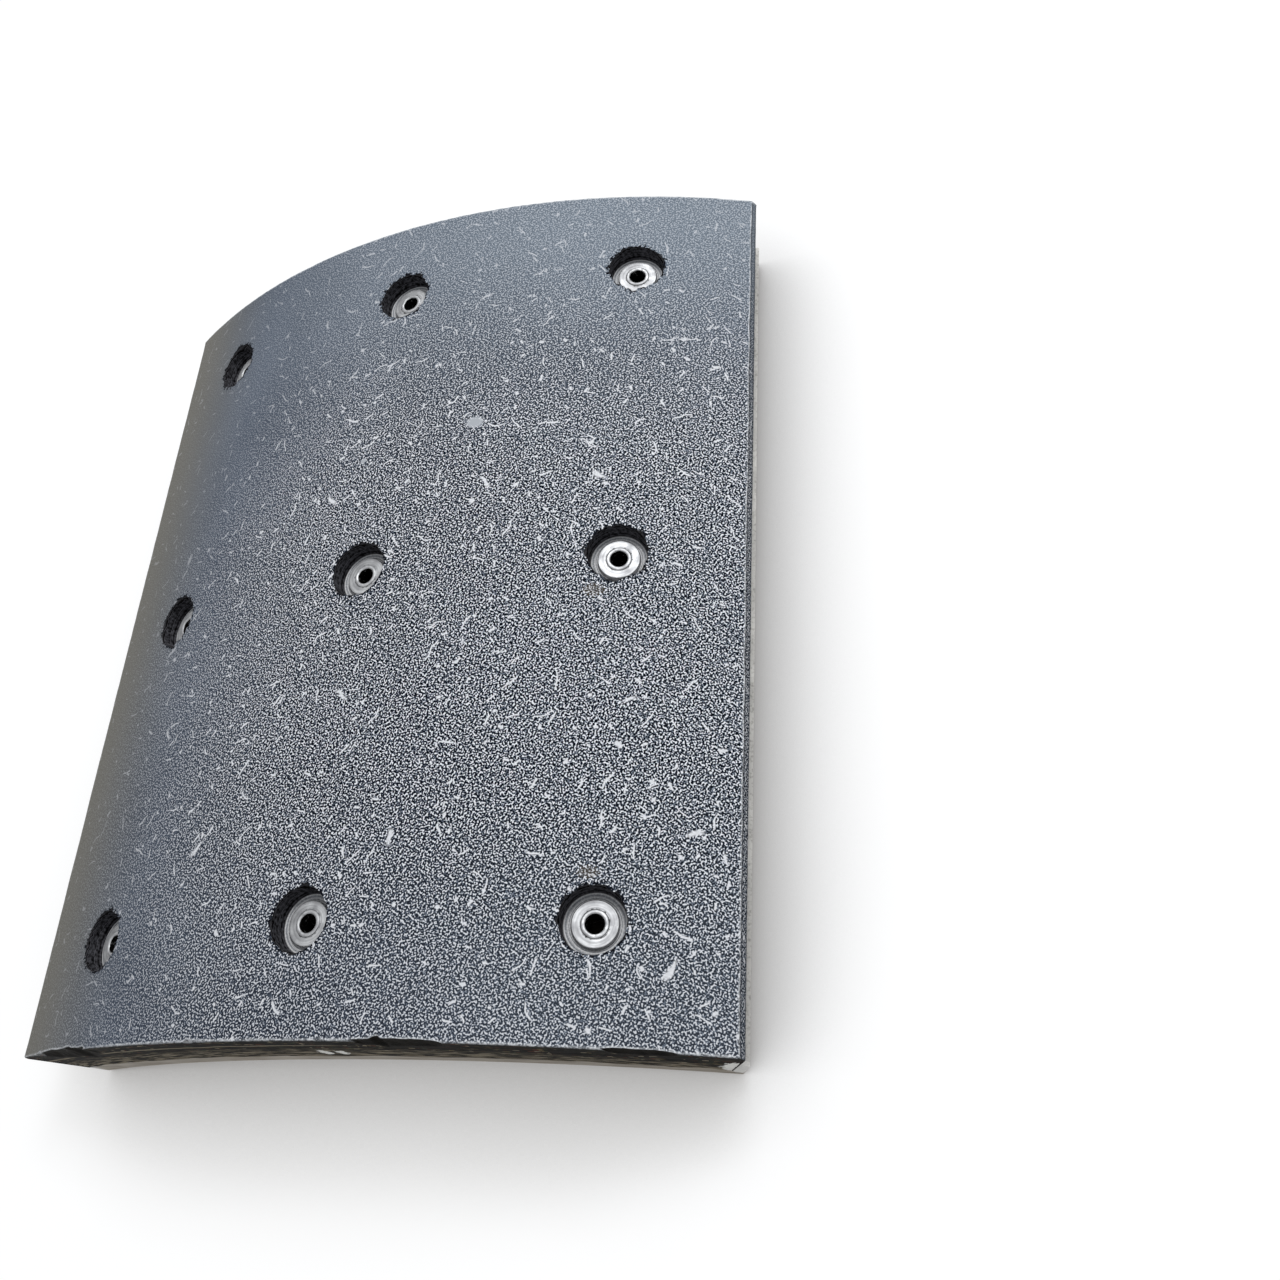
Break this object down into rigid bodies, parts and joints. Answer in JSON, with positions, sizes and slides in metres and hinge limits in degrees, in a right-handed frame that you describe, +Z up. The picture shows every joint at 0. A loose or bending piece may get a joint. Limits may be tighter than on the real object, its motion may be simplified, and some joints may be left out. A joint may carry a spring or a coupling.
{
  "type": "lined brake shoe plate",
  "caption": "Curved truck drum brake shoe: a tapered friction lining fixed to a rolled steel plate by tubular rivets sunk in counterbored holes.",
  "frame": {"origin": "centre of the bounding box's bottom: midway between the plate's two inner ends, which the shoe stands on, and midway across its width", "axes": "+Z up through the middle of the arch, towards the friction face; Y along the drum's axis, across the shoe's width; X along the shoe's chord"},
  "size_m": [0.1882, 0.225, 0.0461],
  "materials": {
    "plate_steel": "matte",
    "friction_material": "matte",
    "rivet_steel": "satin"
  },
  "bodies": {
    "root": {"shoe_plate": "plate_steel", "friction_lining": "friction_material", "rivet_near_left": "rivet_steel", "rivet_near_centre": "rivet_steel", "rivet_near_right": "rivet_steel", "rivet_middle_left": "rivet_steel", "rivet_middle_centre": "rivet_steel", "rivet_middle_right": "rivet_steel", "rivet_far_left": "rivet_steel", "rivet_far_centre": "rivet_steel", "rivet_far_right": "rivet_steel"}
  },
  "joints": []
}
